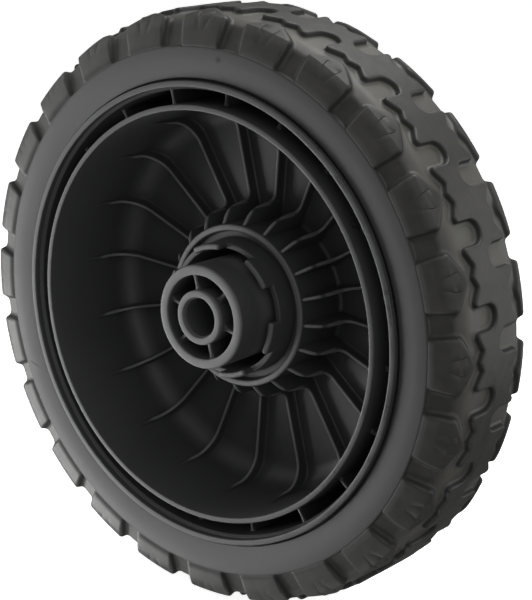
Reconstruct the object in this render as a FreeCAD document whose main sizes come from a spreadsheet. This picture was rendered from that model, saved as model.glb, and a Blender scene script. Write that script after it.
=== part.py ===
"""Lawn mower wheel: a one-piece moulded centre with a ribbed dish, and a lugged tyre pressed on its drum.

Frame: the axle runs along Y, +Z is up, and the origin is on the axle line at the middle of the tyre.
The open dish, the side that faces the mower, looks towards -Y.
"""
import FreeCAD, Part
import math
import os
from types import SimpleNamespace

import Sketcher

# Driving dimensions, in millimetres and degrees. A depth is measured from the plane of the drum's lips.
DIMENSIONS = (
    # Drum and double lip
    ("drum_width", 45.6, "moulded centre, from lip plane to back face"),
    ("lip_radius", 77.2, "outer edge of the outer lip"),
    ("lip_wall", 1.9, "outer lip, radially"),
    ("lip_groove", 5.7, "gap between the two lips"),
    ("dish_wall", 1.8, "inner lip and the wall of the dish below it"),
    ("flange_width", 2.0, "end flange that keeps the tyre on the drum"),
    ("flange_height", 1.0, "end flange above the tyre seat"),
    ("drum_wall", 1.9, "drum wall under the tyre seat"),
    ("groove_depth", 38.0, "floor of the gap between the lips"),
    # Dish and outer face
    ("dish_depth", 40.0, "floor of the dish"),
    ("dish_bevel", 4.7, "bevel between the floor and the wall of the dish"),
    ("floor_wall", 3.2, "thickness of the dish floor"),
    ("back_rim", 6.7, "raised rim round the back face"),
    # Webs between the lips and ribs in the dish share one phase
    ("rib_count", 20, "ribs, and webs in line with them"),
    ("rib_phase", 13.0, "angle of the first rib above +X"),
    ("web_thickness", 1.3, "web between the lips"),
    ("web_drop", 7.0, "top edge of a web"),
    ("rib_thickness", 1.3, "rib in the dish"),
    ("rib_height", 4.0, "rib above the dish floor"),
    ("rib_head_depth", 20.6, "rib where it meets the hub ring"),
    ("rib_step_radius", 33.0, "end of the rib's sloping head"),
    ("rib_step_depth", 24.4, "outer end of the rib's sloping head"),
    ("rib_drop_width", 0.8, "lean of the steep drop after the head"),
    ("rib_foot", 1.8, "bevel at the foot of the drop"),
    ("rib_climb", 5.3, "bevel where the rib turns up the wall"),
    ("rib_climb_gap", 1.3, "rib stands off the wall above that bevel"),
    ("rib_tail_depth", 15.0, "rib runs out into the wall"),
    # Hub: ring, castellated crown, hub tube, spokes and axle sleeve
    ("ring_radius", 27.7, "outside of the hub ring"),
    ("ring_wall", 2.2, "hub ring, radially"),
    ("ring_depth", 19.0, "rim of the hub ring"),
    ("trench_depth", 22.5, "floor between ring and crown"),
    ("crown_radius", 22.7, "outside of the crown"),
    ("crown_wall", 2.0, "crown, radially"),
    ("crown_depth", 10.0, "tops of the crown's teeth"),
    ("crown_chamfer", 0.5, "edges of the crown's teeth"),
    ("notch_depth", 14.0, "bottoms of the crown's notches"),
    ("tooth_count", 6, "teeth of the crown, and spokes of the hub"),
    ("tooth_angle", 29.5, "one tooth of the crown"),
    ("crown_phase", 44.5, "angle of the first tooth and of the first spoke above +X"),
    ("hub_radius", 17.4, "outside of the hub tube"),
    ("hub_wall", 3.3, "hub tube, radially"),
    ("hub_drop", 0.5, "end face of the hub tube"),
    ("hub_pocket_depth", 38.0, "floor of the pockets inside and outside the hub tube"),
    ("spoke_thickness", 1.4, "spoke between hub tube and sleeve"),
    ("spoke_drop", 1.7, "spoke below the end face of the hub tube"),
    ("sleeve_radius", 9.1, "outside of the axle sleeve"),
    ("sleeve_rise", 0.2, "sleeve beyond the lip plane"),
    ("bore_radius", 6.45, "axle bore, for a 12.7 axle"),
    ("mouth_radius", 6.8, "shallow step at the mouth of the bore"),
    ("mouth_depth", 1.3, "length of that step"),
    # Tyre
    ("tyre_radius", 100.0, "over the tread"),
    ("seat_clearance", 0.1, "tyre to drum and to flanges"),
    ("sidewall_reach", 21.2, "sidewall from the middle of the tyre"),
    ("bead_lip", 0.4, "flat bead beyond the flange, radially"),
    ("bead_slope", 2.0, "radial length of the slope from bead to sidewall"),
    ("notch_share", 0.47, "inner end of the shoulder notches, on the way from bead to groove floor"),
    ("shoulder_notch", 1.8, "shoulder notches below the sides of the lugs, along the axle"),
    ("shoulder_lean", 1.4, "lean of the lugs' sides above the notches' inner ends"),
    ("shoulder_drop", 2.8, "outer edges of the lugs below the tread"),
    ("crown_reach", 14.2, "level part of the tread and of its groove floor, from the middle of the tyre"),
    ("tread_depth", 2.1, "tread grooves"),
    ("floor_drop", 1.9, "drop of the groove floor from its level part to its outer edge"),
    ("lug_count", 24, "shoulder lugs on each side"),
    ("tread_turn", 7.6, "angle of the near row's first slot past +Z"),
    ("far_row_turn", 10.1, "far row ahead of the near row"),
    ("slot_width", 8.3, "slot between two lugs"),
    ("slot_end", 0.4, "end of a slot, from the middle of the tyre"),
    ("slot_bevel", 2.4, "bevels that round off the end of a slot"),
    ("lug_point", 13.4, "point of a lug, from the middle of the tyre"),
    ("lug_slope", 0.6, "rise of a lug's inner edges along the tread"),
    ("band_notch", 7.9, "notches in the centre band, from the middle of the tyre"),
    ("band_notch_offset", 3.3, "notch to the line of the lug"),
    ("band_tooth", 9.9, "small tooth between two notches, from the middle of the tyre"),
    ("band_slope", 0.73, "rise of the band's edge from notch to slot"),
)

UP_THE_AXLE = FreeCAD.Vector(0, -1, 0)
FULL_TURN = 360.0


class Size:
    """A number together with the sheet formula that drives it, so that sums of sizes stay formulas."""

    def __init__(self, number, formula):
        self.number = float(number)
        self.formula = formula

    @staticmethod
    def of(value):
        return value if isinstance(value, Size) else Size(value, repr(value))

    def __add__(self, other):
        other = Size.of(other)
        return Size(self.number + other.number, f"({self.formula} + {other.formula})")

    def __sub__(self, other):
        other = Size.of(other)
        return Size(self.number - other.number, f"({self.formula} - {other.formula})")

    def __mul__(self, other):
        other = Size.of(other)
        return Size(self.number * other.number, f"({self.formula} * {other.formula})")

    def __truediv__(self, other):
        other = Size.of(other)
        return Size(self.number / other.number, f"({self.formula} / {other.formula})")

    def __rtruediv__(self, other):
        return Size.of(other) / self

    def __neg__(self):
        return self * -1

    def sine(self):
        return Size(math.sin(math.radians(self.number)), f"sin({self.formula})")

    def cosine(self):
        return Size(math.cos(math.radians(self.number)), f"cos({self.formula})")


NOTHING = Size(0, "0")


def fill_sheet(doc):
    """Write the driving dimensions into the sheet and return them by name."""
    sheet = doc.addObject("Spreadsheet::Sheet", "dims")
    sizes = {}
    for row, (alias, value, note) in enumerate(DIMENSIONS, start=1):
        sheet.set(f"A{row}", alias)
        sheet.set(f"B{row}", str(value))
        sheet.setAlias(f"B{row}", alias)
        sheet.set(f"C{row}", note)
        sizes[alias] = Size(value, f"dims.{alias}")
    doc.recompute()
    return SimpleNamespace(**sizes)


def axial_sketch(body, name, turn=NOTHING):
    """A sketch in a plane through the axle: x is the radius and y runs along the axle.

    The plane is turned from +X towards +Z by the given angle.
    """
    sketch = body.newObject("Sketcher::SketchObject", name)
    plane = next(item for item in body.Origin.OriginFeatures if item.Role == "XY_Plane")
    sketch.AttachmentSupport = [(plane, "")]
    sketch.MapMode = "FlatFace"
    sketch.AttachmentOffset = FreeCAD.Placement(FreeCAD.Vector(), FreeCAD.Rotation(UP_THE_AXLE, turn.number))
    if turn is not NOTHING:
        sketch.setExpression("AttachmentOffset.Rotation.Angle", turn.formula)
    return sketch


def facing_sketch(body, name, turn, distance):
    """A sketch seen along a radius: x runs along the tread and y along the axle.

    It stands at a distance from the axle, turned from +Z by the given angle.
    """
    sketch = axial_sketch(body, name, turn)
    across = -(distance * turn.sine())
    upward = distance * turn.cosine()
    sketch.AttachmentOffset.Base = FreeCAD.Vector(across.number, 0, upward.number)
    sketch.setExpression("AttachmentOffset.Base.x", across.formula)
    sketch.setExpression("AttachmentOffset.Base.z", upward.formula)
    return sketch


def draw_outline(sketch, corners):
    """Add one closed outline of straight lines whose corners, pairs of sizes, all drive it."""
    places = [FreeCAD.Vector(x.number, y.number, 0) for x, y in corners]
    lines = [Part.LineSegment(places[index - 1], places[index]) for index in range(len(places))]
    numbers = sketch.addGeometry(lines)
    for index, (x, y) in enumerate(corners):
        line = numbers[index]
        following = numbers[(index + 1) % len(numbers)]
        sketch.addConstraint(Sketcher.Constraint("Coincident", line, 2, following, 1))
        pin(sketch, line, x, "DistanceX", -2)
        pin(sketch, line, y, "DistanceY", -1)


def pin(sketch, line, value, kind, axis):
    """Fix one coordinate of a line's end: on an axis where it is zero, and by its size elsewhere."""
    if value is NOTHING:
        sketch.addConstraint(Sketcher.Constraint("PointOnObject", line, 2, axis))
    else:
        index = sketch.addConstraint(Sketcher.Constraint(kind, -1, 1, line, 2, value.number))
        sketch.setExpression(f"Constraints[{index}]", value.formula)


def revolve(body, name, corners):
    """Turn a closed outline once round the axle."""
    sketch = axial_sketch(body, name + "_outline")
    draw_outline(sketch, corners)
    feature = body.newObject("PartDesign::Revolution", name)
    feature.Profile = sketch
    feature.ReferenceAxis = (sketch, ["V_Axis"])
    feature.Angle = FULL_TURN
    return feature


def repeat(body, name, originals, axis_sketch, count):
    """Repeat features evenly round the axle."""
    pattern = body.newObject("PartDesign::PolarPattern", name)
    pattern.Originals = originals
    pattern.Axis = (axis_sketch, ["V_Axis"])
    pattern.Angle = FULL_TURN
    pattern.setExpression("Occurrences", count.formula)
    body.Tip = pattern
    return pattern


def fins(body, name, corners, thickness, turn, count):
    """Radial plates of one outline and thickness, evenly round the axle from the given angle."""
    sketch = axial_sketch(body, name + "_outline", turn)
    draw_outline(sketch, corners)
    plate = body.newObject("PartDesign::Pad", name)
    plate.Profile = sketch
    plate.SideType = "Symmetric"
    plate.setExpression("Length", thickness.formula)
    repeat(body, name + "_set", [plate], sketch, count)


def make_wheel_centre(doc, d):
    """The black moulded centre: drum, double lip, dish with ribs, and the hub with its crown."""
    body = doc.addObject("PartDesign::Body", "wheel_centre")
    back = d.drum_width / 2
    face = -back
    seat = d.lip_radius - d.flange_height
    lip_inside = d.lip_radius - d.lip_wall
    drum_inside = seat - d.drum_wall
    inner_lip = lip_inside - d.lip_groove
    dish = inner_lip - d.dish_wall
    floor = face + d.dish_depth
    floor_back = floor + d.floor_wall
    groove_floor = face + d.groove_depth
    inside_ring = d.ring_radius - d.ring_wall / 2
    near_flange = face + d.flange_width
    far_flange = back - d.flange_width

    revolve(body, "drum_and_dish", [
        (d.lip_radius, face),
        (d.lip_radius, near_flange),
        (seat, near_flange),
        (seat, far_flange),
        (d.lip_radius, far_flange),
        (d.lip_radius, back),
        (d.lip_radius - d.back_rim, back),
        (d.lip_radius - d.back_rim, floor_back),
        (inside_ring, floor_back),
        (inside_ring, floor),
        (dish - d.dish_bevel, floor),
        (dish, floor - d.dish_bevel),
        (dish, face),
        (inner_lip, face),
        (inner_lip, groove_floor),
        (drum_inside, groove_floor),
        (drum_inside, near_flange + d.flange_height),
        (lip_inside, near_flange),
        (lip_inside, face),
    ])

    sleeve_end = face - d.sleeve_rise
    hub_end = face + d.hub_drop
    hub_inside = d.hub_radius - d.hub_wall
    pocket_floor = face + d.hub_pocket_depth
    crown_inside = d.crown_radius - d.crown_wall
    notch = face + d.notch_depth
    trench = face + d.trench_depth
    ring_inside = d.ring_radius - d.ring_wall
    ring_end = face + d.ring_depth
    revolve(body, "hub", [
        (d.bore_radius, sleeve_end + d.mouth_depth),
        (d.mouth_radius, sleeve_end + d.mouth_depth),
        (d.mouth_radius, sleeve_end),
        (d.sleeve_radius, sleeve_end),
        (d.sleeve_radius, pocket_floor),
        (hub_inside, pocket_floor),
        (hub_inside, hub_end),
        (d.hub_radius, hub_end),
        (d.hub_radius, pocket_floor),
        (crown_inside, pocket_floor),
        (crown_inside, notch),
        (d.crown_radius, notch),
        (d.crown_radius, trench),
        (ring_inside, trench),
        (ring_inside, ring_end),
        (d.ring_radius, ring_end),
        (d.ring_radius, floor_back),
        (d.hub_radius, floor_back),
        (d.hub_radius, back),
        (d.bore_radius, back),
    ])

    rib_top = floor - d.rib_height
    foot = d.rib_step_radius + d.rib_drop_width
    climb = dish - d.rib_climb_gap
    tail = face + d.rib_tail_depth
    inside_wall = dish + d.dish_wall / 2
    inside_floor = floor + d.floor_wall / 2
    fins(body, "rib", [
        (inside_ring, face + d.rib_head_depth),
        (d.rib_step_radius, face + d.rib_step_depth),
        (foot, rib_top - d.rib_foot),
        (foot + d.rib_foot, rib_top),
        (climb - d.rib_climb, rib_top),
        (climb, rib_top - d.rib_climb),
        (dish, tail),
        (inside_wall, tail),
        (inside_wall, inside_floor),
        (inside_ring, inside_floor),
    ], d.rib_thickness, d.rib_phase, d.rib_count)

    inside_drum = seat - d.drum_wall / 2
    below_groove = groove_floor + d.floor_wall / 2
    fins(body, "web", [
        (inside_wall, face + d.web_drop),
        (inside_drum, face + d.web_drop),
        (inside_drum, below_groove),
        (inside_wall, below_groove),
    ], d.web_thickness, d.rib_phase, d.rib_count)

    inside_sleeve = (d.sleeve_radius + d.bore_radius) / 2
    inside_hub = d.hub_radius - d.hub_wall / 2
    below_pocket = pocket_floor + d.floor_wall / 2
    fins(body, "spoke", [
        (inside_sleeve, hub_end + d.spoke_drop),
        (inside_hub, hub_end + d.spoke_drop),
        (inside_hub, below_pocket),
        (inside_sleeve, below_pocket),
    ], d.spoke_thickness, d.crown_phase, d.tooth_count)

    tooth_end = face + d.crown_depth
    below_notch = notch + d.crown_wall / 2
    sketch = axial_sketch(body, "crown_tooth_outline", d.crown_phase)
    draw_outline(sketch, [
        (crown_inside, below_notch),
        (crown_inside, tooth_end + d.crown_chamfer),
        (crown_inside + d.crown_chamfer, tooth_end),
        (d.crown_radius - d.crown_chamfer, tooth_end),
        (d.crown_radius, tooth_end + d.crown_chamfer),
        (d.crown_radius, below_notch),
    ])
    tooth = body.newObject("PartDesign::Revolution", "crown_tooth")
    tooth.Profile = sketch
    tooth.ReferenceAxis = (sketch, ["V_Axis"])
    tooth.Midplane = True
    tooth.setExpression("Angle", d.tooth_angle.formula)
    repeat(body, "crown_tooth_set", [tooth], sketch, d.tooth_count)
    return body


def cut_tread_row(body, name, d, side, turn, start, axis_sketch):
    """One row of tread grooves: slots between the lugs, and the crooked channel round each lug's point.

    side is -1 for the row on the dish side and 1 for the row on the back. The cuts run outwards from start.
    """
    half_slot = d.slot_width / 2
    past_sidewall = d.sidewall_reach + d.tread_depth
    half_pitch_angle = 180 / d.lug_count
    half_pitch = d.tyre_radius * half_pitch_angle.sine()

    def across(distance):
        return distance * side

    slot_flat = half_slot - d.slot_bevel
    slot_sketch = facing_sketch(body, name + "_slot_outline", turn, start)
    draw_outline(slot_sketch, [
        (-half_slot, across(past_sidewall)),
        (-half_slot, across(d.slot_end + d.slot_bevel)),
        (-slot_flat, across(d.slot_end)),
        (slot_flat, across(d.slot_end)),
        (half_slot, across(d.slot_end + d.slot_bevel)),
        (half_slot, across(past_sidewall)),
    ])

    lug_edge = d.lug_point + d.lug_slope * half_pitch
    band_edge = d.band_notch + d.band_slope * (half_pitch - d.band_notch_offset)
    channel_sketch = facing_sketch(body, name + "_channel_outline", turn + half_pitch_angle, start)
    draw_outline(channel_sketch, [
        (-half_pitch, across(lug_edge)),
        (NOTHING, across(d.lug_point)),
        (half_pitch, across(lug_edge)),
        (half_pitch, across(band_edge)),
        (d.band_notch_offset, across(d.band_notch)),
        (NOTHING, across(d.band_tooth)),
        (-d.band_notch_offset, across(d.band_notch)),
        (-half_pitch, across(band_edge)),
    ])

    cuts = []
    for sketch, label in ((slot_sketch, "slot"), (channel_sketch, "channel")):
        cut = body.newObject("PartDesign::Pocket", f"{name}_{label}")
        cut.Profile = sketch
        cut.Type = "ThroughAll"
        cut.Reversed = True
        cuts.append(cut)
    repeat(body, name + "_row", cuts, axis_sketch, d.lug_count)


def make_tyre(doc, d):
    """The tyre: a tread band cut into lugs and a zigzag centre, closed underneath by the carcass."""
    body = doc.addObject("PartDesign::Body", "tyre")
    bore = d.lip_radius - d.flange_height + d.seat_clearance
    bead = d.drum_width / 2 - d.flange_width - d.seat_clearance
    bead_top = d.lip_radius + d.bead_lip
    sidewall = bead_top + d.bead_slope
    groove_floor = d.tyre_radius - d.tread_depth
    shoulder = sidewall + (groove_floor - sidewall) * d.notch_share
    notch_reach = d.sidewall_reach - d.shoulder_notch
    edge = d.tyre_radius - d.shoulder_drop
    edge_reach = d.sidewall_reach - d.shoulder_lean
    floor_edge = groove_floor - d.floor_drop
    floor_reach = edge_reach - d.shoulder_notch
    buried = shoulder - d.shoulder_notch
    band = revolve(body, "tread_band", [
        (buried, -d.sidewall_reach),
        (shoulder, -d.sidewall_reach),
        (edge, -edge_reach),
        (d.tyre_radius, -d.crown_reach),
        (d.tyre_radius, d.crown_reach),
        (edge, edge_reach),
        (shoulder, d.sidewall_reach),
        (buried, d.sidewall_reach),
    ])

    axis_sketch = band.Profile[0]
    cut_tread_row(body, "near", d, -1, NOTHING, sidewall, axis_sketch)
    cut_tread_row(body, "far", d, 1, d.far_row_turn, sidewall, axis_sketch)

    revolve(body, "carcass", [
        (bore, -bead),
        (bead_top, -bead),
        (sidewall, -d.sidewall_reach),
        (shoulder, -d.sidewall_reach),
        (shoulder, -notch_reach),
        (floor_edge, -floor_reach),
        (groove_floor, -d.crown_reach),
        (groove_floor, d.crown_reach),
        (floor_edge, floor_reach),
        (shoulder, notch_reach),
        (shoulder, d.sidewall_reach),
        (sidewall, d.sidewall_reach),
        (bead_top, bead),
        (bore, bead),
    ])

    body.Placement = FreeCAD.Placement(FreeCAD.Vector(), FreeCAD.Rotation(UP_THE_AXLE, d.tread_turn.number))
    body.setExpression("Placement.Rotation.Angle", d.tread_turn.formula)
    return body


def check(doc, parts):
    """Stop where an object failed or a part is not one sound solid."""
    for item in doc.Objects:
        if "Invalid" in item.State or "Error" in item.State:
            raise RuntimeError(f"{item.Name} failed to build: {item.State}")
    for part in parts:
        shape = part.Shape
        if shape.isNull() or not shape.isValid() or len(shape.Solids) != 1:
            raise RuntimeError(f"{part.Label} is not one valid solid")


def main():
    doc = FreeCAD.newDocument("mower_wheel")
    d = fill_sheet(doc)
    parts = [make_wheel_centre(doc, d), make_tyre(doc, d)]
    doc.recompute()
    check(doc, parts)
    os.makedirs("parts", exist_ok=True)
    for part in parts:
        part.Shape.exportStep(f"parts/{part.Label}.step")
        print(part.Label, "volume", round(part.Shape.Volume), "mm3, faces", len(part.Shape.Faces))


main()
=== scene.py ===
import math

import bpy
import numpy as np
from mathutils import Matrix


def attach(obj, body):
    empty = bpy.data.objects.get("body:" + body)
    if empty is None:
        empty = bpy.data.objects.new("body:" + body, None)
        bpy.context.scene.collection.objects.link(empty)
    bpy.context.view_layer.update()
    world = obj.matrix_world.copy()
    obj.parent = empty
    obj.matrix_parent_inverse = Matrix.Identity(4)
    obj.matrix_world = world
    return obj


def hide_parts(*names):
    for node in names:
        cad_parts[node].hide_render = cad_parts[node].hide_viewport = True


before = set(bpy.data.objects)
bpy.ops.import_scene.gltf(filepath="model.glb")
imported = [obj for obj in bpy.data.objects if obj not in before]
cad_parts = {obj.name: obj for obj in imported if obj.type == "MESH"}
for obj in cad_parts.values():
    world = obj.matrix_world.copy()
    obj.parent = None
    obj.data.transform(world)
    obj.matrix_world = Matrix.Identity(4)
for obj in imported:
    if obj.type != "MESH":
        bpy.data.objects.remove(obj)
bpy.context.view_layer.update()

# Sizes are in millimetres and angles in degrees. A depth is measured from the plane of the lips,
# which looks towards -Y, and a turn runs from +X towards +Z.
MM = 0.001
LIP_PLANE = -22.8
DRUM_WIDTH = 45.6
TURN_STEPS = 288

# Drum, lips and dish
LIP_RADIUS = 77.2
LIP_INSIDE = 75.3
DRUM_SEAT = 76.2
DRUM_INSIDE = 74.3
FLANGE_WIDTH = 2.0
INNER_LIP = 69.6
DISH_RADIUS = 67.8
DISH_DEPTH = 40.0
DISH_ROUND = 8.0
GROOVE_DEPTH = 38.0
FLOOR_BACK = 43.2
BACK_RIM = 70.5

# Ribs
RIB_COUNT = 20
RIB_PHASE = 13.0
RIB_HALF = 0.56
RIB_DRAFT = 0.012
RIB_TOP = 36.0
RIB_FOOT_RADIUS = 33.8
RIB_FOOT_ROUND = 3.0
RIB_CLIMB_GAP = 1.3
RIB_CLIMB_ROUND = 9.0
RIB_END_DEPTH = 14.5
RIB_END_BURIED = 0.3
RIB_BURIED = 1.0
RIB_LOW = 3.4
# Top edge of a rib's head, from the hub ring outwards: radius and depth. It leans, then turns down at a depth.
RIB_HEAD = (
    (26.4, 19.3), (27.8, 20.1), (29.4, 21.3), (30.8, 22.5),
    (31.8, 23.7), (32.5, 25.0), (33.0, 26.6), (33.4, 29.0))
RIB_HEAD_LEAN = 39.56
RIB_HEAD_TURN = 25.0
# Section of a rib: heights and flare of its foot, then drops and inset of its rounded top edge.
RIB_FOOT_HEIGHT = np.array([0.75, 1.0, 1.25, 1.6, 2.1])
RIB_FOOT_FLARE = np.array([0.95, 0.6, 0.32, 0.12, 0.0])
RIB_EDGE_DROP = np.array([0.75, 0.34, 0.1, 0.0])
RIB_EDGE_INSET = np.array([0.0, 0.05, 0.2, 0.42])

# Webs between the lips and spokes in the hub
WEB_HALF = 0.6
WEB_DEPTH = 7.0
SPOKE_HALF = 0.7
SPOKE_DEPTH = 2.2
PLATE_BURIED = 0.4
PLATE_FOOT_BURIED = 0.5
# Shares of a plate's length and its flare there, then drops of its round top and shares of its width there.
PLATE_ALONG = np.array([0.0, 0.12, 0.2, 0.3, 0.5, 0.7, 0.8, 0.88, 1.0])
PLATE_FLARE = np.array([1.1, 0.55, 0.2, 0.04, 0.0, 0.04, 0.2, 0.55, 1.1])
PLATE_DROP = np.array([3.0, 0.7, 0.3, 0.08, 0.0])
PLATE_SHARE = np.array([1.0, 1.0, 0.92, 0.72, 0.35])

# Hub ring, crown, hub tube and sleeve
RING_RADIUS = 27.7
RING_INSIDE = 25.5
RING_DEPTH = 19.0
TRENCH_DEPTH = 22.5
CROWN_RADIUS = 22.7
CROWN_INSIDE = 20.7
CROWN_DEPTH = 10.0
NOTCH_DEPTH = 14.0
CROWN_PHASE = 44.5
TOOTH_COUNT = 6
TOOTH_ANGLE = 29.5
TOOTH_BURIED = 1.5
TOOTH_SKIN = 0.02
TOOTH_STEPS = 9
# Rounded end of a crown tooth: distances from the end and inset there.
TOOTH_FROM_END = np.array([0.0, 0.06, 0.22, 0.6])
TOOTH_INSET = np.array([0.6, 0.3, 0.12, 0.0])
HUB_RADIUS = 17.4
HUB_INSIDE = 14.1
HUB_DEPTH = 0.5
POCKET_DEPTH = 38.0
SLEEVE_RADIUS = 9.1
SLEEVE_DEPTH = -0.2
BORE_RADIUS = 6.45
MOUTH_RADIUS = 6.8
MOUTH_DEPTH = 1.1

# Tyre
TYRE_RADIUS = 100.0
TYRE_BORE = 76.3
BEAD_REACH = 19.5
BEAD_TOP = 77.6
SIDEWALL_REACH = 21.2
SIDEWALL_SWELL = 84.0
SHOULDER_RADIUS = 88.2
NOTCH_REACH = 20.0
FLOOR_RADIUS = 97.9
# Sections of the lugs' surface and of the groove floor, from the tyre's middle: radius, reach and rounding.
LUG_SECTION = (
    (TYRE_RADIUS, 0), (TYRE_RADIUS, 13.4, 12, 5), (97.1, 19.4, 2.4, 7), (89.4, 21.3, 6, 5), (80, 19.7))
FLOOR_SECTION = (
    (FLOOR_RADIUS, 0), (FLOOR_RADIUS, 13.4, 7, 5), (95.6, 17.3, 3, 5),
    (SHOULDER_RADIUS, NOTCH_REACH, 0.6), (80, 19))

# Lugs
LUG_COUNT = 24
TREAD_PHASE = 7.6
FAR_ROW_TURN = 10.1
SLOT_HALF = 4.15
SLOT_END = 0.4
LUG_POINT = 12.6
LUG_POINT_ROUND = 2.6
LUG_SLOPE = 0.6
LUG_CORNER_ROUND = 1.5
LUG_END = 86.0
LUG_END_ROUND = 1.9
# Rows laid across a lug: half widths on its two slopes, distances from the middle on its sides, least gap.
LUG_SLOPE_ROWS = (2.6, 3.8, 5.2, 6.8)
LUG_SIDE_ROWS = (22.6, 24.2, 25.8)
LUG_ROW_GAP = 0.35
# Two sipes on each lug: distances from the tyre's middle and offsets from the lug's middle, which keep
# inside a share of its half width.
SIPE_WIDTH = (14.5, 18.0, 22.4)
SIPE_OFFSET = (3.4, 2.8, 1.5)
SIPE_END = 2.0
SIPE_INSIDE = 0.86
SIPE_HALF = 0.18
SIPE_DEPTH = 0.2
# From a lug's top down its wall to the groove: distance out from its outline and share of the groove's depth.
LUG_EDGE_OUT = np.array([-1.2, -0.75, -0.35, 0.0, 0.3, 0.65, 1.0, 1.5, 2.3])
LUG_EDGE_DROP = np.array([0.0, 0.012, 0.065, 0.17, 0.36, 0.62, 0.82, 0.95, 1.03])

# Centre band
BAND_PEAK = 12.0
BAND_PEAK_ROUND = 1.1
BAND_NOTCH = 7.9
BAND_NOTCH_ROUND = 1.3
BAND_NOTCH_OFFSET = 3.3
BAND_TOOTH = 9.9
BAND_TOOTH_ROUND = 0.9
BAND_BULGE = np.array([0.6, -0.4])
BAND_SIDE_ROWS = (7.2, 9.2)
BAND_LEAST = 0.12
BAND_LEAST_STEP = 0.04
BAND_TOP_SHARE = np.array([0.2, 0.45, 0.7])
# From the band's top down its wall to the groove, as for the lugs.
BAND_EDGE_OUT = np.array([-0.95, -0.55, -0.22, -0.04, 0.06, 0.34, 0.6, 1.0, 1.6])
BAND_EDGE_DROP = np.array([0.0, 0.008, 0.045, 0.11, 0.2, 0.74, 0.88, 0.965, 1.03])

# Marks on the near sidewall: place across and up, half length, half width and turn.
TOP_SPOT = (7.6, 84.4, 0.9, 0.8, 0.0)
LEFT_CUT = (-79.0, -30.7, 2.2, 0.36, -19.0)

# Camera and stage
LENS = 108.0
CAMERA_TURN = 38.49
CAMERA_RISE = 14.77
CAMERA_AWAY = 586.8
CAMERA_RIGHT = 21.92
CAMERA_UP = 5.84
FLOOR_SIZE = 12.0
STUDIO_STRENGTH = 0.17
# Lamps: name, direction from the wheel, distance, size and radiance.
LAMPS = (
    ("table", (-0.84, -0.37, -0.4), 520, 420, 5.9),
    ("left_high", (-0.85, -0.3, 0.4), 520, 420, 1.2),
    ("right_front", (0.85, -0.4, 0.36), 620, 900, 0.8),
    ("right_back", (0.7, 0.7, 0.1), 520, 420, 1.3),
    ("overhead", (0.1, 0.3, 0.95), 520, 420, 4.2),
    ("over_front", (0, -0.35, 0.93), 520, 420, 0.5),
    ("below", (0, -0.25, -0.95), 520, 420, 0.9),
)


class Shell:
    """A closed surface: points in millimetres, and faces of four corners, where -1 marks a triangle."""

    def __init__(self, points, faces):
        self.points = np.asarray(points, float).reshape(-1, 3)
        self.faces = closed_cells(faces)
        corner = self.points[np.where(self.faces < 0, self.faces[:, :1], self.faces)]
        first = np.einsum("ij,ij->i", corner[:, 0], np.cross(corner[:, 1], corner[:, 2]))
        second = np.einsum("ij,ij->i", corner[:, 0], np.cross(corner[:, 2], corner[:, 3]))
        if first.sum() + second.sum() < 0:
            triangle = self.faces[:, 3] < 0
            flipped = self.faces[:, ::-1].copy()
            flipped[triangle] = np.column_stack([self.faces[triangle][:, 2::-1], np.full(triangle.sum(), -1)])
            self.faces = flipped

    def turned(self, turns):
        """Copies of the shell, each turned about the axle by one of the given angles."""
        turns = np.radians(np.atleast_1d(turns))[:, None]
        step = np.arange(len(turns))[:, None, None] * len(self.points)
        faces = np.where(self.faces < 0, -1, self.faces + step)
        return Shell(turned_points(self.points, turns), faces.reshape(-1, 4))


def turned_points(points, turn):
    """Points turned about the axle by an angle in radians: (x cos t - z sin t, y, x sin t + z cos t)."""
    x, y, z = np.moveaxis(points, -1, 0)
    cosine, sine = np.cos(turn), np.sin(turn)
    return np.stack(np.broadcast_arrays(x * cosine - z * sine, y, x * sine + z * cosine), -1)


def about_axle(radius, place, turn):
    """Points at a radius, a place along the axle and a turn in radians: (r cos t, y, r sin t)."""
    return np.stack(np.broadcast_arrays(radius * np.cos(turn), place, radius * np.sin(turn)), -1)


def closed_cells(faces):
    """Faces whose neighbouring corners coincide become triangles, and faces with fewer corners are dropped."""
    faces = np.asarray(faces)
    repeated = (faces == np.roll(faces, -1, axis=1)) & (faces >= 0)
    whole = faces[~repeated.any(axis=1)]
    short = faces[repeated.sum(axis=1) == 1]
    gap = repeated[repeated.sum(axis=1) == 1].argmax(axis=1)
    kept = (gap[:, None] + 1 + np.arange(3)) % 4
    triangles = np.column_stack([np.take_along_axis(short, kept, axis=1), np.full(len(short), -1)])
    return np.concatenate([whole, triangles])


def cells(rows, columns, wrap_rows=False, wrap_columns=False):
    """Corner numbers of the cells of a grid; a wrapped side joins its end to its start."""
    row = np.arange(rows if wrap_rows else rows - 1)[:, None]
    column = np.arange(columns if wrap_columns else columns - 1)[None, :]
    below, after = (row + 1) % rows, (column + 1) % columns
    corners = [row * columns + column, row * columns + after, below * columns + after, below * columns + column]
    return np.stack(np.broadcast_arrays(*corners), -1).reshape(-1, 4)


def ring_shell(profile):
    """A closed outline of radius and place along the axle, carried once round the axle."""
    turn = np.arange(TURN_STEPS) * math.tau / TURN_STEPS
    radius, place = np.asarray(profile).T[..., None]
    return Shell(about_axle(radius, place, turn), cells(len(profile), TURN_STEPS, True, True))


def tube_shell(sections):
    """Closed sections carried along a path, one row each, with both ends drawn together at their middles."""
    rows, columns = sections.shape[:2]
    start, end = rows * columns, rows * columns + 1
    points = np.concatenate([sections.reshape(-1, 3), [sections[0].mean(0), sections[-1].mean(0)]])
    around = np.arange(columns)
    after = (around + 1) % columns
    last = (rows - 1) * columns
    caps = np.concatenate([
        np.column_stack([after, around, np.full(columns, start), np.full(columns, start)]),
        np.column_stack([last + around, last + after, np.full(columns, end), np.full(columns, end)])])
    return Shell(points, np.concatenate([cells(rows, columns, False, True), caps]))


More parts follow.
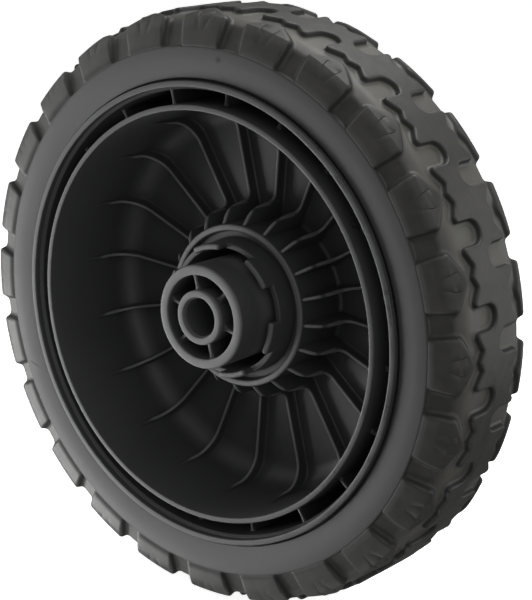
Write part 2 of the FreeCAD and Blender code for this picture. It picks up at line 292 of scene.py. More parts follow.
def rounded(corners, loop=True):
    """A polyline with its corners turned into arcs.

    A corner is (x, y), (x, y, radius) or (x, y, radius, steps). The arc touches both sides of its corner.
    """
    place = np.array([corner[:2] for corner in corners], float)
    pieces = []
    for index, corner in enumerate(corners):
        here = place[index]
        at_end = not loop and index in (0, len(corners) - 1)
        if len(corner) < 3 or at_end:
            pieces.append(here[None])
            continue
        radius = corner[2]
        steps = corner[3] if len(corner) > 3 else 4
        back = place[index - 1] - here
        ahead = place[(index + 1) % len(corners)] - here
        back /= np.linalg.norm(back)
        ahead /= np.linalg.norm(ahead)
        half = math.acos(np.clip(back @ ahead, -1, 1)) / 2
        middle = (back + ahead) / np.linalg.norm(back + ahead)
        centre = here + middle * radius / math.sin(half)
        sweep = np.linspace(-1, 1, steps + 1)[:, None] * (math.pi / 2 - half)
        across = (ahead - back) / np.linalg.norm(ahead - back)
        pieces.append(centre + radius * (np.sin(sweep) * across - np.cos(sweep) * middle))
    return np.concatenate(pieces)


def axial(depth):
    """Place along the axle of a depth below the lips."""
    return LIP_PLANE + np.asarray(depth, float)


def evenly(count, phase=0.0):
    """Angles spread evenly round the axle."""
    return phase + np.arange(count) * 360.0 / count


def drum_and_hub():
    """The turned form of the moulding: an outline from the outer lip round the back and the hub to the dish."""
    back = DRUM_WIDTH
    outline = rounded([
        (LIP_RADIUS, 0, 0.3), (LIP_RADIUS, FLANGE_WIDTH, 0.2), (DRUM_SEAT, FLANGE_WIDTH, 0.2),
        (DRUM_SEAT, back - FLANGE_WIDTH, 0.2), (LIP_RADIUS, back - FLANGE_WIDTH, 0.2), (LIP_RADIUS, back, 0.6),
        (BACK_RIM, back, 0.6), (BACK_RIM, FLOOR_BACK, 1.0), (HUB_RADIUS, FLOOR_BACK, 1.0),
        (HUB_RADIUS, back, 0.5), (BORE_RADIUS, back, 0.4), (BORE_RADIUS, MOUTH_DEPTH, 0.1, 2),
        (MOUTH_RADIUS, MOUTH_DEPTH, 0.1, 2), (MOUTH_RADIUS, SLEEVE_DEPTH, 0.3),
        (SLEEVE_RADIUS, SLEEVE_DEPTH, 0.4), (SLEEVE_RADIUS, POCKET_DEPTH, 0.8),
        (HUB_INSIDE, POCKET_DEPTH, 0.8), (HUB_INSIDE, HUB_DEPTH, 0.4),
        (HUB_RADIUS, HUB_DEPTH, 0.7), (HUB_RADIUS, POCKET_DEPTH, 0.8), (CROWN_INSIDE, POCKET_DEPTH, 0.8),
        (CROWN_INSIDE, NOTCH_DEPTH, 0.4), (CROWN_RADIUS, NOTCH_DEPTH, 0.4), (CROWN_RADIUS, TRENCH_DEPTH, 0.8),
        (RING_INSIDE, TRENCH_DEPTH, 0.8), (RING_INSIDE, RING_DEPTH, 0.6), (RING_RADIUS, RING_DEPTH, 0.7),
        (RING_RADIUS, DISH_DEPTH, 1.6), (DISH_RADIUS, DISH_DEPTH, DISH_ROUND, 10), (DISH_RADIUS, 0, 0.3),
        (INNER_LIP, 0, 0.3), (INNER_LIP, GROOVE_DEPTH, 1.0), (DRUM_INSIDE, GROOVE_DEPTH, 1.0),
        (DRUM_INSIDE, FLANGE_WIDTH + 1, 0.5), (LIP_INSIDE, FLANGE_WIDTH, 0.5), (LIP_INSIDE, 0, 0.3),
    ])
    outline[:, 1] = axial(outline[:, 1])
    return ring_shell(outline)


def rib_edges():
    """The rib's top edge and the line it stands on, both as radius and depth, point for point.

    Both run out from the hub ring: down the rib's head, along the floor, round the corner and up the wall.
    """
    sweep = np.radians(np.linspace(0, 90, 7))[:, None]
    foot_centre = np.array([RIB_FOOT_RADIUS + RIB_FOOT_ROUND, RIB_TOP - RIB_FOOT_ROUND])
    foot = foot_centre + RIB_FOOT_ROUND * np.column_stack([-np.cos(sweep), np.sin(sweep)])
    climb_start = DISH_RADIUS - RIB_CLIMB_GAP - RIB_CLIMB_ROUND
    run = np.column_stack([np.linspace(foot[-1, 0], climb_start, 8)[1:-1], np.full(6, RIB_TOP)])
    sweep = np.radians(np.linspace(90, 0, 12))[:, None]
    circle = np.column_stack([np.cos(sweep), np.sin(sweep)])
    climb = np.array([climb_start, RIB_TOP - RIB_CLIMB_ROUND]) + RIB_CLIMB_ROUND * circle
    tail_radius = np.linspace(climb[-1, 0], DISH_RADIUS + RIB_END_BURIED, 8)[1:]
    tail_depth = np.linspace(climb[-1, 1], RIB_END_DEPTH, 8)[1:]
    top = np.concatenate([RIB_HEAD, foot, run, climb, np.column_stack([tail_radius, tail_depth])])

    level = len(RIB_HEAD) + len(foot) + len(run)
    floor_line = np.column_stack([top[:level, 0], np.full(level, DISH_DEPTH + RIB_BURIED)])
    corner_centre = np.array([DISH_RADIUS - DISH_ROUND, DISH_DEPTH - DISH_ROUND])
    corner = corner_centre + (DISH_ROUND + RIB_BURIED) * circle
    wall_depth = np.linspace(corner[-1, 1], tail_depth[-1], 8)[1:]
    wall_line = np.column_stack([np.full(7, DISH_RADIUS + RIB_BURIED), wall_depth])
    return top, np.concatenate([floor_line, corner, wall_line])


def rib():
    """One rib: a thin section with a rounded top and a flared foot, carried along the rib's edges.

    Where the rib is low, the foot and the rounding are squeezed together in height.
    """
    top, base = rib_edges()
    rise = np.linalg.norm(top - base, axis=1)[:, None]
    squeeze = np.minimum(rise / RIB_LOW, 1)
    height = np.concatenate([RIB_FOOT_HEIGHT * squeeze, rise - RIB_EDGE_DROP * squeeze], axis=1)
    half = RIB_HALF + RIB_DRAFT * (rise - height)
    half = half + np.concatenate([RIB_FOOT_FLARE * squeeze, -RIB_EDGE_INSET * np.ones_like(squeeze)], axis=1)
    along = height / np.maximum(rise, 0.01)
    line = base[:, None] + (top - base)[:, None] * along[..., None]
    radius, depth = np.moveaxis(np.concatenate([line, line[:, ::-1]], axis=1), -1, 0)
    side = np.concatenate([half, -half[:, ::-1]], axis=1)
    return tube_shell(np.stack([radius, axial(depth), side], -1))


def plate(inner, outer, top, bottom, half):
    """A flat radial plate between two walls: a round-topped section that widens into both walls."""
    radius = inner + (outer - inner) * PLATE_ALONG
    drop = np.append(bottom - top, PLATE_DROP)
    share = np.append(1.0, PLATE_SHARE)
    depth = top + np.concatenate([drop, drop[::-1]])
    side = half * np.concatenate([share, -share[::-1]])
    width = side[None] * (1 + PLATE_FLARE[:, None])
    return tube_shell(np.stack(np.broadcast_arrays(radius[:, None], axial(depth)[None], width), -1))


def crown_tooth():
    """One tooth of the crown: a rounded upright section carried along an arc, drawn in at both ends.

    Its sides lie a hair inside the crown's wall, so that no two faces coincide.
    """
    below = NOTCH_DEPTH + TOOTH_BURIED
    inside, outside = CROWN_INSIDE + TOOTH_SKIN, CROWN_RADIUS - TOOTH_SKIN
    section = rounded([
        (inside, below), (inside, CROWN_DEPTH, 0.55), (outside, CROWN_DEPTH, 0.7), (outside, below)])
    middle = np.array([(CROWN_INSIDE + CROWN_RADIUS) / 2, below])
    half_length = math.radians(TOOTH_ANGLE / 2) * middle[0]
    between = np.linspace(-0.8, 0.8, TOOTH_STEPS) * half_length
    place = np.concatenate([TOOTH_FROM_END - half_length, between, half_length - TOOTH_FROM_END[::-1]])
    inset = np.concatenate([TOOTH_INSET, np.zeros(TOOTH_STEPS), TOOTH_INSET[::-1]])
    reach = section - middle
    size = np.abs(reach).max(axis=0)
    shrunk = middle + reach[None] * (1 - inset[:, None, None] / size)
    return tube_shell(about_axle(shrunk[..., 0], axial(shrunk[..., 1]), (place / middle[0])[:, None]))


def along_section(corners):
    """A rounded section, point by point: its radius, reach, lean from level, and distance from the middle."""
    path = rounded(corners, loop=False)
    run = np.gradient(path, axis=0)
    distance = np.concatenate([[0], np.cumsum(np.linalg.norm(np.diff(path, axis=0), axis=1))])
    return path[:, 0], path[:, 1], np.arctan2(-run[:, 0], run[:, 1]), distance


def tread_surface(width):
    """Radius, reach and lean of the tyre's outer surface at a distance along its section from the middle."""
    *measures, distance = along_section(LUG_SECTION)
    return [np.interp(width, distance, measure) for measure in measures]


def groove_depth(width):
    """Depth of the grooves at a distance along the section: how far the nearest place on their floor is."""
    radius, reach, _ = tread_surface(width)
    floor_radius, floor_reach, _, distance = along_section(FLOOR_SECTION)
    place = np.linspace(0, distance[-1], 300)
    gap = np.hypot(radius[..., None] - np.interp(place, distance, floor_radius),
                   reach[..., None] - np.interp(place, distance, floor_reach))
    return gap.min(axis=-1)


def lift(along, width, drop, side):
    """Points of the tread: a place along the tread and across its section, sunk by a drop.

    The place along the tread is an arc length at the tyre's full radius.
    """
    radius, reach, lean = tread_surface(width)
    return about_axle(
        radius - drop * np.cos(lean), side * (reach - drop * np.sin(lean)), along / TYRE_RADIUS)


def lug_outline():
    """Half of a lug's outline, from its point over the shoulder to its end on the sidewall."""
    half_pitch = math.pi / LUG_COUNT
    radius, _, _, distance = along_section(LUG_SECTION)
    outer_width = np.interp(-LUG_END, -radius, distance)
    top_half = TYRE_RADIUS * (half_pitch - math.asin(SLOT_HALF / TYRE_RADIUS))
    end_half = TYRE_RADIUS * (half_pitch - math.asin(SLOT_HALF / LUG_END))
    corner_width = LUG_POINT + LUG_SLOPE * top_half
    side_width = np.sort(np.append(distance, LUG_SIDE_ROWS))
    side_width = side_width[np.diff(side_width, prepend=-1) > LUG_ROW_GAP]
    side_width = side_width[(side_width > corner_width + 1) & (side_width < outer_width - 1)]
    side_half = np.interp(side_width, [corner_width, outer_width], [top_half, end_half])
    path = rounded([
        (-2, LUG_POINT + 2 * LUG_SLOPE), (0, LUG_POINT, LUG_POINT_ROUND, 4),
        *[(half, LUG_POINT + half * LUG_SLOPE) for half in LUG_SLOPE_ROWS],
        (top_half, corner_width, LUG_CORNER_ROUND, 4), *zip(side_half, side_width),
        (end_half, outer_width, LUG_END_ROUND, 4), (0, outer_width)], loop=False)[1:-1]
    return path[path[:, 0] > -0.001]


def across_lug(half, line):
    """Places across a lug's top: from one side to the other, with three close together at each sipe line."""
    outer, inner = line + SIPE_HALF, np.maximum(line - SIPE_HALF, 0.01)
    between = (half + 2 * outer) / 3
    right = np.stack([between, outer, line, inner], -1)
    return np.concatenate([right, 0 * right[..., :1], -right[..., ::-1]], axis=-1)


def lug(side):
    """One lug: its wall is the outline carried down to the groove, and its top is laid between its two sides.

    The top carries two fine sipes along the tyre's width, closer together towards the sidewall.
    """
    half = lug_outline()
    last = len(half) - 1
    end = across_lug(half[last, 0], SIPE_END)
    columns = len(end)
    end_edge = np.column_stack([end, np.full(columns, half[last, 1])])
    loop = np.concatenate([half, end_edge, (half * [-1, 1])[:0:-1]])
    run = np.roll(loop, -1, axis=0) - np.roll(loop, 1, axis=0)
    run /= np.linalg.norm(run, axis=1, keepdims=True)
    normal = np.column_stack([run[:, 1], -run[:, 0]])
    if (normal * (loop - loop.mean(axis=0))).sum() < 0:
        normal = -normal
    rings, count = len(LUG_EDGE_OUT), len(loop)
    spread = loop[None] + LUG_EDGE_OUT[:, None, None] * normal[None]
    depth = groove_depth(spread[..., 1])
    wall = lift(spread[..., 0], spread[..., 1], LUG_EDGE_DROP[:, None] * depth, side)

    row_half, row_width = spread[0, 1:last].T
    nominal = np.interp(row_width, SIPE_WIDTH, SIPE_OFFSET)
    across = across_lug(row_half, np.minimum(nominal, row_half * SIPE_INSIDE))
    cut = np.zeros(columns)
    cut[[2, -3]] = SIPE_DEPTH
    in_line = (row_half * SIPE_INSIDE >= nominal) & (row_width < SIPE_WIDTH[-1])
    top = lift(across, row_width[:, None] + 0 * across, in_line[:, None] * cut, side)

    pole = lift(*loop.mean(axis=0), TYRE_RADIUS - SHOULDER_RADIUS, side)
    points = np.concatenate([wall.reshape(-1, 3), top.reshape(-1, 3), pole[None]])
    numbers = np.empty((last + 1, columns + 2), int)
    numbers[:, 0] = np.arange(last + 1)
    numbers[:, -1] = (count - np.arange(last + 1)) % count
    numbers[0, 1:-1] = 0
    numbers[last, 1:-1] = last + 1 + np.arange(columns)
    numbers[1:last, 1:-1] = rings * count + np.arange((last - 1) * columns).reshape(-1, columns)
    top_cells = numbers.ravel()[cells(last + 1, columns + 2)]
    around = (rings - 1) * count + np.arange(count)
    bottom = np.column_stack([around, np.roll(around, -1), np.full((count, 2), len(points) - 1)])
    return Shell(points, np.concatenate([top_cells, cells(rings, count, False, True), bottom]))


def band_outline():
    """One pitch of the centre band's edge, from one lug line to the next, as place along the tread and reach.

    It goes round the slot's end in the middle of the pitch and up to a peak on both sides of it.
    """
    half_pitch = TYRE_RADIUS * math.pi / LUG_COUNT
    round_centre = SLOT_END + SLOT_HALF
    sweep = np.radians(np.linspace(0, 90, 8))
    slot = np.column_stack([SLOT_HALF * np.sin(sweep), round_centre - SLOT_HALF * np.cos(sweep)])
    peak = np.array([SLOT_HALF, BAND_PEAK])
    notch = np.array([half_pitch - BAND_NOTCH_OFFSET, BAND_NOTCH])
    edge = rounded([
        (SLOT_HALF, round_centre), *[(SLOT_HALF, row) for row in BAND_SIDE_ROWS], (*peak, BAND_PEAK_ROUND, 5),
        tuple((peak + notch) / 2 + BAND_BULGE), (*notch, BAND_NOTCH_ROUND, 4),
        (half_pitch, BAND_TOOTH, BAND_TOOTH_ROUND, 4), (half_pitch + BAND_NOTCH_OFFSET, BAND_NOTCH),
    ], loop=False)
    edge = edge[1:][edge[1:, 0] < half_pitch + 0.001]
    half = np.concatenate([slot, edge])
    return np.concatenate([(half * [-1, 1])[:0:-1], half])[:-1]


def band():
    """The zigzag centre band: its two edges carried down to the grooves, and its top laid between them.

    Both edges are the same outline, and the far one is ahead of the near one by a whole number of its points.
    At the slots' ends, each edge keeps a least reach on its own side of the tyre's middle.
    """
    length = math.tau * TYRE_RADIUS
    pitch = length / LUG_COUNT
    outline = band_outline()
    per_pitch = len(outline)
    row = np.arange(LUG_COUNT)[:, None]
    edge = np.stack([outline[None, :, 0] + row * pitch, outline[None, :, 1] + 0 * row], -1).reshape(-1, 2)
    before, after = np.roll(edge, 1, axis=0), np.roll(edge, -1, axis=0)
    before[0, 0] -= length
    after[-1, 0] += length
    run = after - before
    run /= np.linalg.norm(run, axis=1, keepdims=True)
    normal = np.column_stack([-run[:, 1], run[:, 0]])
    spread = edge[None] + BAND_EDGE_OUT[:, None, None] * normal[None]
    least = BAND_LEAST + BAND_LEAST_STEP * np.arange(len(BAND_EDGE_OUT))[:, None]
    drop = BAND_EDGE_DROP[:, None] * (TYRE_RADIUS - FLOOR_RADIUS)
    wall = lift(spread[..., 0], np.maximum(spread[..., 1], least), drop, -1)

    middle = np.arange(len(edge)) * pitch / per_pitch + outline[0, 0]
    share = BAND_TOP_SHARE[:, None]
    inside_along = spread[0, :, 0] * (1 - share) + middle * share
    inside_reach = np.maximum(spread[0, :, 1], BAND_LEAST) * (1 - share)
    near = np.concatenate([wall[::-1], lift(inside_along, inside_reach, 0, -1)])
    centre = lift(middle, 0 * middle, 0, -1)[None]
    shift = round(FAR_ROW_TURN / 360.0 * LUG_COUNT * per_pitch)
    far = turned_points(near * [1, -1, 1], math.tau * shift / LUG_COUNT / per_pitch)
    rows = np.concatenate([near, centre, np.roll(far, shift, axis=1)[::-1]])
    return Shell(rows, cells(len(rows), rows.shape[1], True, True))


def carcass():
    """The tyre below the tread: bore, beads, sidewalls and groove floor as one outline round the axle."""
    half = [
        (TYRE_BORE, BEAD_REACH, 0.3), (BEAD_TOP, BEAD_REACH, 0.3), (BEAD_TOP + 0.2, SIDEWALL_REACH - 0.2, 0.6),
        (SIDEWALL_SWELL, SIDEWALL_REACH, 20, 3), (SHOULDER_RADIUS, SIDEWALL_REACH, 0.5),
        *FLOOR_SECTION[-2:0:-1], (FLOOR_RADIUS, 8)]
    near = [(corner[0], -corner[1], *corner[2:]) for corner in half]
    return ring_shell(rounded(near + half[::-1]))


def wheel_centre_shells():
    """Drum with hub, ribs in the dish, webs between the lips, spokes in the hub and teeth of the crown."""
    at_ribs, at_teeth = evenly(RIB_COUNT, RIB_PHASE), evenly(TOOTH_COUNT, CROWN_PHASE)
    web = plate(
        DRUM_INSIDE + PLATE_BURIED, INNER_LIP - PLATE_BURIED,
        WEB_DEPTH, GROOVE_DEPTH + PLATE_FOOT_BURIED, WEB_HALF)
    spoke = plate(
        SLEEVE_RADIUS - PLATE_BURIED, HUB_INSIDE + PLATE_BURIED,
        SPOKE_DEPTH, POCKET_DEPTH + PLATE_FOOT_BURIED, SPOKE_HALF)
    return [drum_and_hub(), rib().turned(at_ribs), web.turned(at_ribs), spoke.turned(at_teeth),
            crown_tooth().turned(at_teeth)]


def tyre_shells():
    """Carcass, centre band and the two rows of lugs, which stand between the slots."""
    near_lugs = evenly(LUG_COUNT, TREAD_PHASE) + 180.0 / LUG_COUNT
    return [carcass(), band().turned(TREAD_PHASE), lug(-1).turned(near_lugs),
            lug(1).turned(near_lugs + FAR_ROW_TURN)]


def join(shells):
    """All the shells as one list of points and faces."""
    starts = np.cumsum([0] + [len(shell.points) for shell in shells[:-1]])
    points = np.concatenate([shell.points for shell in shells])
    faces = np.concatenate([np.where(s.faces < 0, -1, s.faces + first) for s, first in zip(shells, starts)])
    return points, faces


def make_piece(name, shells, material, node, sharp):
    """Put the shells into one mesh that stands for a CAD node; edges over the sharp angle stay sharp."""
    points, faces = join(shells)
    corners = faces[faces >= 0]
    sizes = (faces >= 0).sum(axis=1)
    mesh = bpy.data.meshes.new(name)
    mesh.vertices.add(len(points))
    mesh.vertices.foreach_set("co", (points * MM).astype(np.float32).ravel())
    mesh.loops.add(len(corners))
    mesh.loops.foreach_set("vertex_index", corners.astype(np.int32))
    mesh.polygons.add(len(faces))
    mesh.polygons.foreach_set("loop_start", (np.cumsum(sizes) - sizes).astype(np.int32))
    mesh.polygons.foreach_set("use_smooth", np.ones(len(faces), bool))
    mesh.update(calc_edges=True)
    mesh.validate()
    mesh.set_sharp_from_angle(angle=math.radians(sharp))
    mesh.materials.append(material)
    piece = bpy.data.objects.new(name, mesh)
    bpy.context.scene.collection.objects.link(piece)
    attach(piece, "root")
    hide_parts(node)


class Value:
    """A shader value that takes part in sums: each operator adds one Math node to its finish."""

    def __init__(self, finish, socket):
        self.finish = finish
        self.socket = socket

    def math(self, operation, first, second):
        node = self.finish.node("ShaderNodeMath", {"operation": operation}, {0: first, 1: second})
        return Value(self.finish, node.outputs[0])

    def __add__(self, other):
        return self.math("ADD", self, other)

    def __sub__(self, other):
        return self.math("SUBTRACT", self, other)

    def __mul__(self, other):
        return self.math("MULTIPLY", self, other)

    def __truediv__(self, other):
        return self.math("DIVIDE", self, other)

    def __radd__(self, other):
        return self.math("ADD", other, self)

    def __rsub__(self, other):
        return self.math("SUBTRACT", other, self)

    def __rmul__(self, other):
        return self.math("MULTIPLY", other, self)

    def __abs__(self):
        return self.math("ABSOLUTE", self, 0.0)

    def over(self, other):
        return self.math("MAXIMUM", self, other)

    def under(self, other):
        return self.math("MINIMUM", self, other)

    def length_with(self, other):
        return self.math("POWER", self * self + other * other, 0.5)

    def rising(self, start, end):
        """Nought up to the start, and one from the end on."""
        return ((self - start) * (1 / (end - start))).over(0.0).under(1.0)

    def falling(self, start, end):
        """One up to the start, and nought from the end on."""
        return self.rising(end, start)


class Finish:
    """One procedural material, read from object coordinates."""

    def __init__(self, name):
        self.material = bpy.data.materials.new(name)
        self.material.use_nodes = True
        self.tree = self.material.node_tree
        self.tree.nodes.clear()
        self.place = self.value("ShaderNodeTexCoord", output="Object")

    def node(self, kind, settings=None, sockets=None):
        """Add a node, with its settings first and then the values or links of its sockets."""
        node = self.tree.nodes.new(kind)
        for key, setting in (settings or {}).items():
            setattr(node, key, setting)
        for key, value in (sockets or {}).items():
            if isinstance(value, Value):
                self.tree.links.new(value.socket, node.inputs[key])
            else:
                node.inputs[key].default_value = value
        return node

    def value(self, kind, settings=None, sockets=None, output=0):
        return Value(self, self.node(kind, settings, sockets).outputs[output])

    def places(self):
        """The object coordinates one by one, in millimetres."""
        parts = self.node("ShaderNodeSeparateXYZ", {}, {0: self.place})
        return [Value(self, parts.outputs[key]) * 1000.0 for key in range(3)]

    def radius_and_width(self):
        """Distance from the axle line and place along it, both in millimetres."""
        across, along, up = self.places()
        return across.length_with(up), along

    def radius_and_depth(self):
        """Distance from the axle line and depth below the lips, both in millimetres."""
        radius, width = self.radius_and_width()
        return radius, width - LIP_PLANE

    def scar(self, across, up, length, width, turn):
        """One inside a small oval on the near sidewall, fading at its edge; the turn is in degrees."""
        x, y, z = self.places()
        x, z = x - across, z - up
        cosine, sine = math.cos(math.radians(turn)), math.sin(math.radians(turn))
        along, aside = (x * cosine + z * sine) / length, (z * cosine - x * sine) / width
        return along.length_with(aside).falling(0.6, 1.6) * y.falling(-1.0, 0.0)

    def noise(self, scale, detail=3.0, roughness=0.5):
        """Soft random variation; the scale is in features per metre."""
        sockets = {"Vector": self.place, "Scale": scale, "Detail": detail, "Roughness": roughness}
        return self.value("ShaderNodeTexNoise", {}, sockets)

    def mix(self, factor, first, second):
        sockets = {0: factor, 6: first, 7: second}
        return self.value("ShaderNodeMix", {"data_type": "RGBA"}, sockets, output=2)

    def bump(self, height, strength, distance):
        sockets = {"Height": height, "Strength": strength, "Distance": distance}
        return self.value("ShaderNodeBump", {}, sockets)

    def surface(self, colour, roughness, normal, specular=0.5, glow=0.0):
        shader = self.value("ShaderNodeBsdfPrincipled", {}, {
            "Base Color": colour, "Roughness": roughness, "Normal": normal, "Specular IOR Level": specular,
            "Emission Color": (1, 1, 1, 1), "Emission Strength": glow})
        self.node("ShaderNodeOutputMaterial", {}, {"Surface": shader})
        return self.material


def rib_edge(finish):
    """One on the ribs' top edges and nought elsewhere; it places a painted highlight on them.

    The open dish is a box with rounded corners in radius and depth; the top edges lie on its border. The head
    is the lesser of the distances below its lean and behind its front.
    """
    radius, depth = finish.radius_and_depth()
    outer_centre = DISH_RADIUS - RIB_CLIMB_GAP - RIB_CLIMB_ROUND
    outer_depth = (depth - (RIB_TOP - RIB_CLIMB_ROUND)).over(0.0)
    outer = (radius - outer_centre).over(0.0).length_with(outer_depth) - RIB_CLIMB_ROUND
    inner_centre = RIB_FOOT_RADIUS + RIB_FOOT_ROUND
    inner_depth = (depth - (RIB_TOP - RIB_FOOT_ROUND)).over(0.0)
    inner = (inner_centre - radius).over(0.0).length_with(inner_depth) - RIB_FOOT_ROUND
    on_dish = outer.over(inner).falling(0.2, 0.533) * radius.rising(33.0, 34.0)

    lean = math.radians(RIB_HEAD_LEAN)
    start_radius, start_depth = RIB_HEAD[1]
    below = (depth - start_depth) * math.cos(lean) - (radius - start_radius) * math.sin(lean)
    behind = (RIB_HEAD[-1][0] - radius) + (RIB_HEAD_TURN - depth).over(0.0)
    on_head = below.under(behind).falling(0.385, 0.769) * depth.falling(33.0, 34.0)
    on_head = on_head * radius.rising(27.9, 28.15) * radius.falling(33.95, 34.2)
    return on_dish.over(on_head)


def hub_front_highlight(finish):
    """One on the front edges of sleeve, hub tube, crown and hub ring, and nought elsewhere; it places a painted
    highlight on them.
    """
    radius, depth = finish.radius_and_depth()
    tube = depth.falling(0.6, 1.6)
    crown = depth.falling(CROWN_DEPTH - 0.1, CROWN_DEPTH + 0.9)
    crown = crown * radius.rising(CROWN_INSIDE - 0.6, CROWN_INSIDE + 0.4)
    ring = depth.falling(RING_DEPTH, RING_DEPTH + 1.0)
    ring = ring * radius.rising(RING_INSIDE - 0.6, RING_INSIDE + 0.4)
    return tube.over(crown).over(ring) * radius.falling(29.0, 30.0)


def hub_trench_light(finish):
    """One in the trench between hub tube and crown, where painted light goes, and nought elsewhere."""
    radius, depth = finish.radius_and_depth()
    outside_tube = radius.rising(HUB_RADIUS - 0.4, HUB_RADIUS - 0.2)
    inside_crown = radius.falling(CROWN_INSIDE, CROWN_INSIDE + 0.2)
    return outside_tube * inside_crown * depth.rising(9.0, 13.0)


def black_plastic():
    """Satin black moulding: faint flow marks, fine tooled grain, glossy on one side; painted highlights on the
    rib and hub edges and painted light in the hub trench.
    """
    finish = Finish("black_plastic")
    flow = finish.noise(34.0, 4.0, 0.6)
    grain = finish.noise(1900.0, 2.0)
    colour = finish.mix(flow, (0.035, 0.0355, 0.036, 1), (0.05, 0.0505, 0.051, 1))
    # Painted highlight: the ribs' top edges are made pale, as if they caught the light.
    colour = finish.mix(rib_edge(finish), colour, (0.14, 0.141, 0.142, 1))
    # Painted highlight: the front edges of sleeve, hub tube, crown and hub ring are made paler, as if they
    # caught the light.
    colour = finish.mix(hub_front_highlight(finish), colour, (0.1, 0.1005, 0.101, 1))
    # Painted light: the deep trench between hub tube and crown is made paler, as if light reached into it.
    colour = finish.mix(hub_trench_light(finish), colour, (0.075, 0.075, 0.074, 1))
    gloss = finish.noise(85.0, 4.0, 0.6).rising(0.441, 0.735) * finish.places()[0].rising(18.0, 38.0)
    roughness = 0.4 + 0.14 * flow + 0.05 * grain - 0.34 * gloss
    normal = finish.bump(flow * 0.6 + grain * 0.12, 0.25, 0.0006)
    return finish.surface(colour, roughness, normal)


def beyond_flat(radius, width, first, second):
    """Distance out from the straight line between two corners of a section."""
    fall, run = first[0] - second[0], second[1] - first[1]
    size = math.hypot(fall, run)
    return (radius - first[0]) * (run / size) + (width - first[1]) * (fall / size)


def tyre_rubber():
    """Matt dark grey rubber: soft mottling, fine mould grain, groove floors paled in blotches by painted light,
    groove walls darkened by painted shade.

    The height above the groove floor is the greatest of the distances from its three flats.
    """
    finish = Finish("tyre_rubber")
    mottle = finish.noise(26.0, 5.0, 0.62)
    specks = finish.noise(420.0, 3.0, 0.6)
    patches = finish.noise(150.0, 3.0, 0.6)
    grain = finish.noise(1500.0, 2.0)
    radius, width = finish.radius_and_width()
    width = abs(width)
    crown, slope, side = [beyond_flat(radius, width, *FLOOR_SECTION[start:start + 2]) for start in range(3)]
    height = crown.over(slope).over(side)
    tread = radius.rising(87.2, 89.2)
    floor = height.falling(0.156, 0.781) * tread * width.falling(13.6, 17.6)
    wall = height.rising(0.182, 0.636) * height.falling(1.263, 1.789) * tread

    tone = 0.65 * mottle + 0.35 * specks
    colour = finish.mix(tone, (0.028, 0.028, 0.0283, 1), (0.05, 0.0498, 0.0492, 1))
    tone = (2.2 * patches + 0.8 * mottle).rising(1.0, 2.0)
    tread_colour = finish.mix(tone, (0.0135, 0.0133, 0.0123, 1), (0.031, 0.0301, 0.0268, 1))
    colour = finish.mix(tread, colour, tread_colour)
    # Painted light: the groove floors are made paler in blotches, as if they caught the light.
    colour = finish.mix(floor * (0.25 + 0.9 * mottle), colour, (0.085, 0.083, 0.072, 1))
    # Painted shade: the groove walls between the tops and the floors are darkened, as if in shadow.
    colour = finish.mix(wall * 0.85, colour, (0.006, 0.006, 0.0058, 1))
    scars = finish.scar(*TOP_SPOT).over(finish.scar(*LEFT_CUT))
    colour = finish.mix(scars, colour, (0.004, 0.004, 0.004, 1))
    roughness = 0.4 + 0.16 * mottle + 0.1 * specks + 0.25 * wall
    normal = finish.bump(grain * 0.35 + specks * 0.65, 0.2, 0.0003)
    return finish.surface(colour, roughness, normal)


def pale_floor():
    """Plain pale paper."""
    finish = Finish("pale_floor")
    tone = finish.noise(3.0)
    colour = finish.mix(tone, (0.93, 0.93, 0.93, 1), (0.95, 0.95, 0.95, 1))
    normal = finish.bump(tone, 0.02, 0.001)
    return finish.surface(colour, 0.9 + 0.02 * tone, normal, specular=0.1, glow=0.85)


def make_floor():
    """A level square under the tyre with a pale wall far off on each side; only the camera sees them."""
    half = FLOOR_SIZE / 2
    level = -TYRE_RADIUS * MM
    corners = [(-half, -half), (half, -half), (half, half), (-half, half)]
    points = [(*corner, height) for height in (level, level + FLOOR_SIZE) for corner in corners]
    mesh = bpy.data.meshes.new("floor")
    mesh.from_pydata(points, [], [(0, 1, 2, 3), (1, 0, 4, 5), (2, 1, 5, 6), (3, 2, 6, 7), (0, 3, 7, 4)])
    mesh.materials.append(pale_floor())
    floor = bpy.data.objects.new("floor", mesh)
    floor.visible_diffuse = False
    floor.visible_glossy = False
    floor.visible_shadow = False
    bpy.context.scene.collection.objects.link(floor)


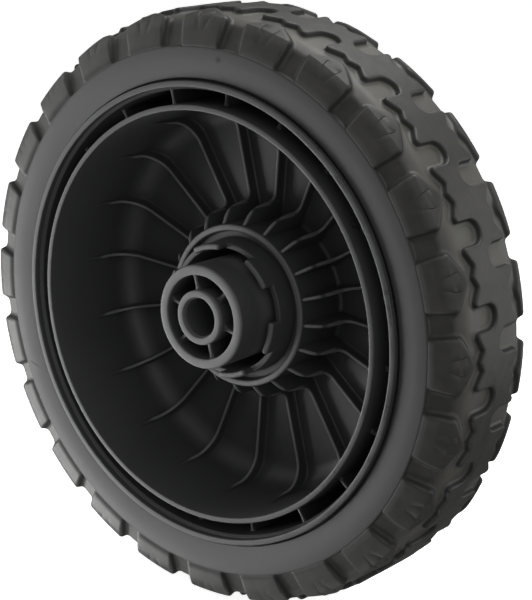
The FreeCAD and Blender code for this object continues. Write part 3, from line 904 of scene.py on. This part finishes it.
def point_object(thing, right, up, back, place):
    """Stand a camera or light at a place in millimetres, looking against its back direction."""
    matrix = np.eye(4)
    matrix[:3, :3] = np.column_stack([right, up, back])
    matrix[:3, 3] = np.asarray(place) * MM
    thing.matrix_world = Matrix(matrix.tolist())
    bpy.context.scene.collection.objects.link(thing)


def make_camera():
    """A long lens in front of the dish, turned to the right and raised a little."""
    lens = bpy.data.cameras.new("camera")
    lens.lens = LENS
    lens.clip_start = 0.01
    camera = bpy.data.objects.new("camera", lens)
    turn, rise = math.radians(CAMERA_TURN), math.radians(CAMERA_RISE)
    right = np.array([math.cos(turn), math.sin(turn), 0])
    back = np.array([math.sin(turn) * math.cos(rise), -math.cos(turn) * math.cos(rise), math.sin(rise)])
    up = np.cross(back, right)
    place = np.array([0, LIP_PLANE, 0]) + CAMERA_RIGHT * right + CAMERA_UP * up + CAMERA_AWAY * back
    point_object(camera, right, up, back, place)
    bpy.context.scene.camera = camera


def make_light(name, direction, distance, size, radiance):
    """A soft square lamp in a direction from the wheel, turned to it; distance and size in millimetres."""
    lamp = bpy.data.lights.new(name, "AREA")
    lamp.shape = "SQUARE"
    lamp.size = size * MM
    lamp.energy = radiance * math.pi * lamp.size ** 2
    back = np.asarray(direction, float) / np.linalg.norm(direction)
    right = np.cross([0, 0, 1.0], back)
    right /= np.linalg.norm(right)
    point_object(bpy.data.objects.new(name, lamp), right, np.cross(back, right), back, back * distance)


def make_lights():
    """A weak even light from all round, and the lamps."""
    bpy.context.scene.view_settings.view_transform = "Standard"
    world = bpy.data.worlds.new("studio")
    bpy.context.scene.world = world
    world.use_nodes = True
    backdrop = world.node_tree.nodes["Background"]
    backdrop.inputs["Color"].default_value = (1, 1, 1, 1)
    backdrop.inputs["Strength"].default_value = STUDIO_STRENGTH
    for lamp in LAMPS:
        make_light(*lamp)


make_piece(
    "wheel_centre_moulding", wheel_centre_shells(), black_plastic(), "wheel_centre", sharp=40)
make_piece("tyre_rubber_moulding", tyre_shells(), tyre_rubber(), "tyre", sharp=44)
make_floor()
make_camera()
make_lights()
